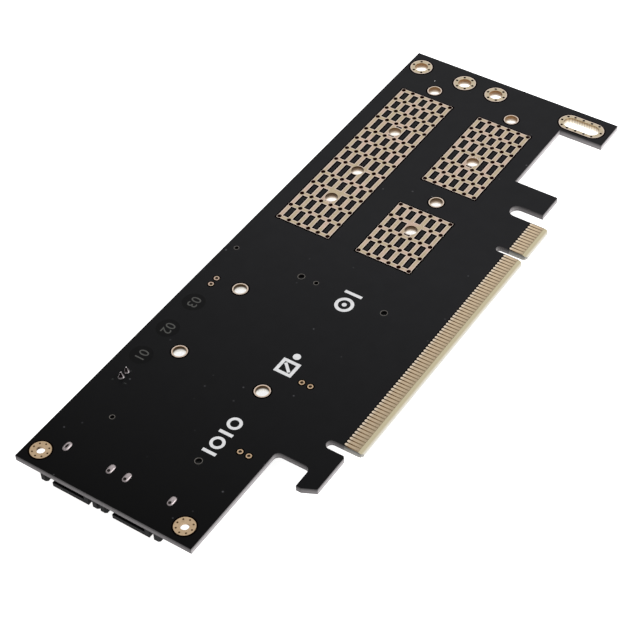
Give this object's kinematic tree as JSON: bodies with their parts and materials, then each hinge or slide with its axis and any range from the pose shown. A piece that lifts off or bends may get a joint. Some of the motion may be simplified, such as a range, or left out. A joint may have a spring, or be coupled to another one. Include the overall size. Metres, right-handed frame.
{
  "type": "nvme adapter card",
  "caption": "Expansion card with a notched edge connector, sockets for M.2 modules and a mini card, plated heat grids, and drive data ports at the rear edge.",
  "frame": {"origin": "centre of the edge connector's key notch, at the tongue's leading edge and mid board thickness", "axes": "+X along the card to its bracket end, +Y away from the edge connector, +Z out of the solder side"},
  "size_m": [0.169, 0.064, 0.0088],
  "materials": {
    "board": "satin black mask",
    "gold": "thin gold over copper",
    "tin": "bright tin",
    "black_plastic": "moulded",
    "white_plastic": "moulded",
    "lens": "cloudy clear resin",
    "ceramic_brown": "fired",
    "ceramic_black": "fired",
    "ferrite": "pressed powder"
  },
  "bodies": {
    "root": {"circuit_board": "board", "edge_contacts_solder_side": "gold", "edge_contacts_component_side": "gold", "long_heat_grid": "gold", "near_heat_grid": "gold", "far_heat_grid": "gold", "bracket_hole_linings": "gold", "bracket_slot_lining": "gold", "corner_hole_linings": "gold", "standoff_hole_linings": "gold", "mini_card_hole_linings": "gold", "lead_hole_linings": "gold", "lead_header_shroud": "white_plastic", "lead_header_pins": "tin", "lead_header_solder": "tin", "resistor_bodies": "ceramic_black", "resistor_ends": "tin", "coupling_capacitor_bodies": "ceramic_brown", "coupling_capacitor_ends": "tin", "bulk_capacitor_bodies": "ceramic_brown", "bulk_capacitor_ends": "tin", "lamp_bases": "white_plastic", "lamp_lenses": "lens", "lamp_terminals": "tin", "lamp_driver_body": "black_plastic", "lamp_driver_leads": "tin", "regulator_body": "black_plastic", "regulator_leads": "tin", "power_choke_body": "ferrite", "power_choke_terminals": "tin", "upper_module_socket_housing": "black_plastic", "upper_module_socket_contacts": "gold", "upper_module_socket_solder_tabs": "tin", "lower_module_socket_housing": "black_plastic", "lower_module_socket_contacts": "gold", "lower_module_socket_solder_tabs": "tin", "mini_card_socket_housing": "black_plastic", "mini_card_socket_contacts": "gold", "mini_card_socket_solder_tabs": "tin", "upper_data_header_housing": "black_plastic", "upper_data_header_contacts": "gold", "upper_data_header_board_locks": "tin", "upper_data_header_solder_joints": "tin", "lower_data_header_housing": "black_plastic", "lower_data_header_contacts": "gold", "lower_data_header_board_locks": "tin", "lower_data_header_solder_joints": "tin"}
  },
  "joints": []
}
